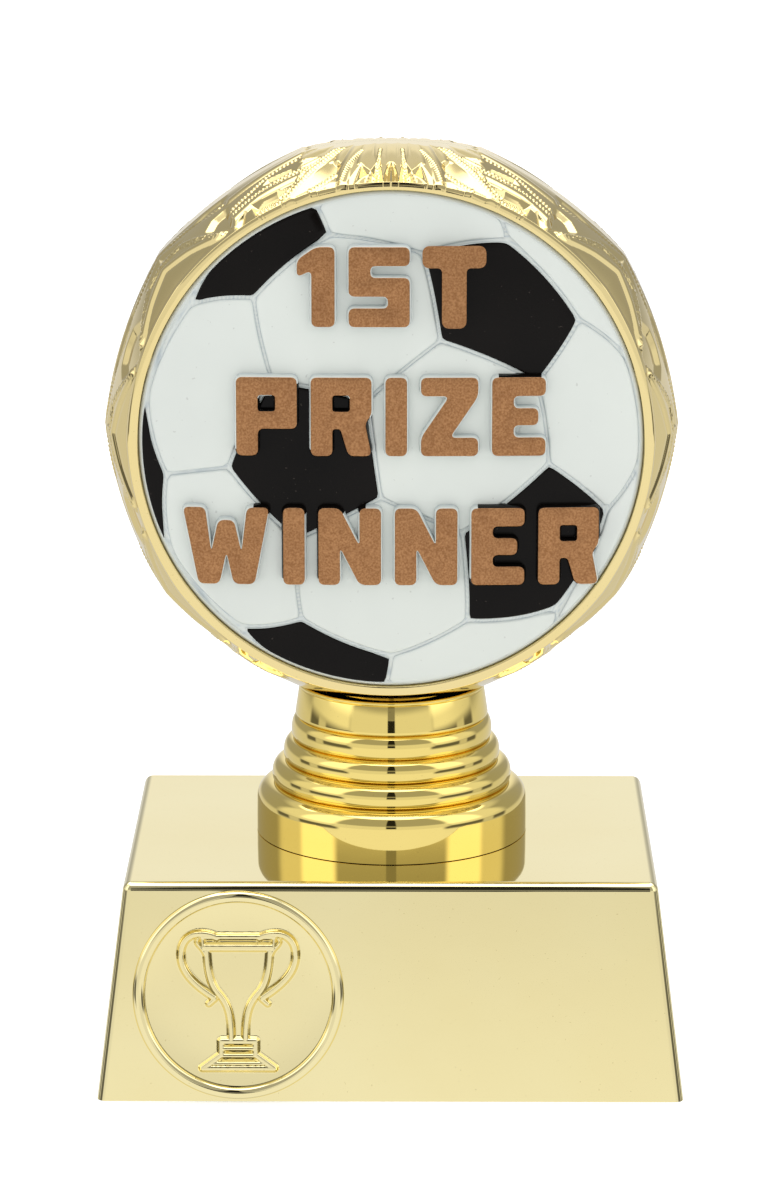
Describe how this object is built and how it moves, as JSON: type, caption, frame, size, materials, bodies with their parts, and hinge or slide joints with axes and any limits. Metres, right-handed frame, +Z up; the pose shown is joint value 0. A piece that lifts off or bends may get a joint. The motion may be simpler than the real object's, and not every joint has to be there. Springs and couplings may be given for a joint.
{
  "type": "figure trophy",
  "caption": "Desk-size football trophy: hollow plinth with a round cup centre, tiered riser, and a cut-glass style ball holding a football plaque; the column turns on its rod.",
  "frame": {"origin": "middle of the plinth's underside, on the surface it stands on", "axes": "+Z up along the tie rod; the plaque, the round centre and the nameplate area face -Y; +X to the right seen from the front"},
  "size_m": [0.082, 0.0647, 0.1306],
  "materials": {
    "gold_plastic": "vacuum-metallised gold, mirror bright",
    "enamel": "gloss enamel in white and black with bronze lettering",
    "zinc_steel": "zinc-plated steel",
    "black_sheet": "closed-cell foam sheet, matt",
    "foam_pad": "white double-sided foam pad"
  },
  "bodies": {
    "base": {"base_shell": "gold_plastic", "base_cover": "black_sheet", "weight_plate": "zinc_steel", "cup_medallion": "gold_plastic"},
    "column": {"tie_rod": "zinc_steel", "bottom_washer": "zinc_steel", "bottom_nut": "zinc_steel", "riser": "gold_plastic", "holder_nut": "zinc_steel", "holder_front": "gold_plastic", "holder_back": "gold_plastic", "insert_adhesive_pad": "foam_pad", "football_insert": "enamel", "rear_disc": "gold_plastic"}
  },
  "joints": [
    {"name": "column_swivel", "type": "hinge", "parent": "base", "child": "column", "pos_m": [0, 0, 0.03065], "axis": [0, 0, 1], "continuous": true}
  ]
}
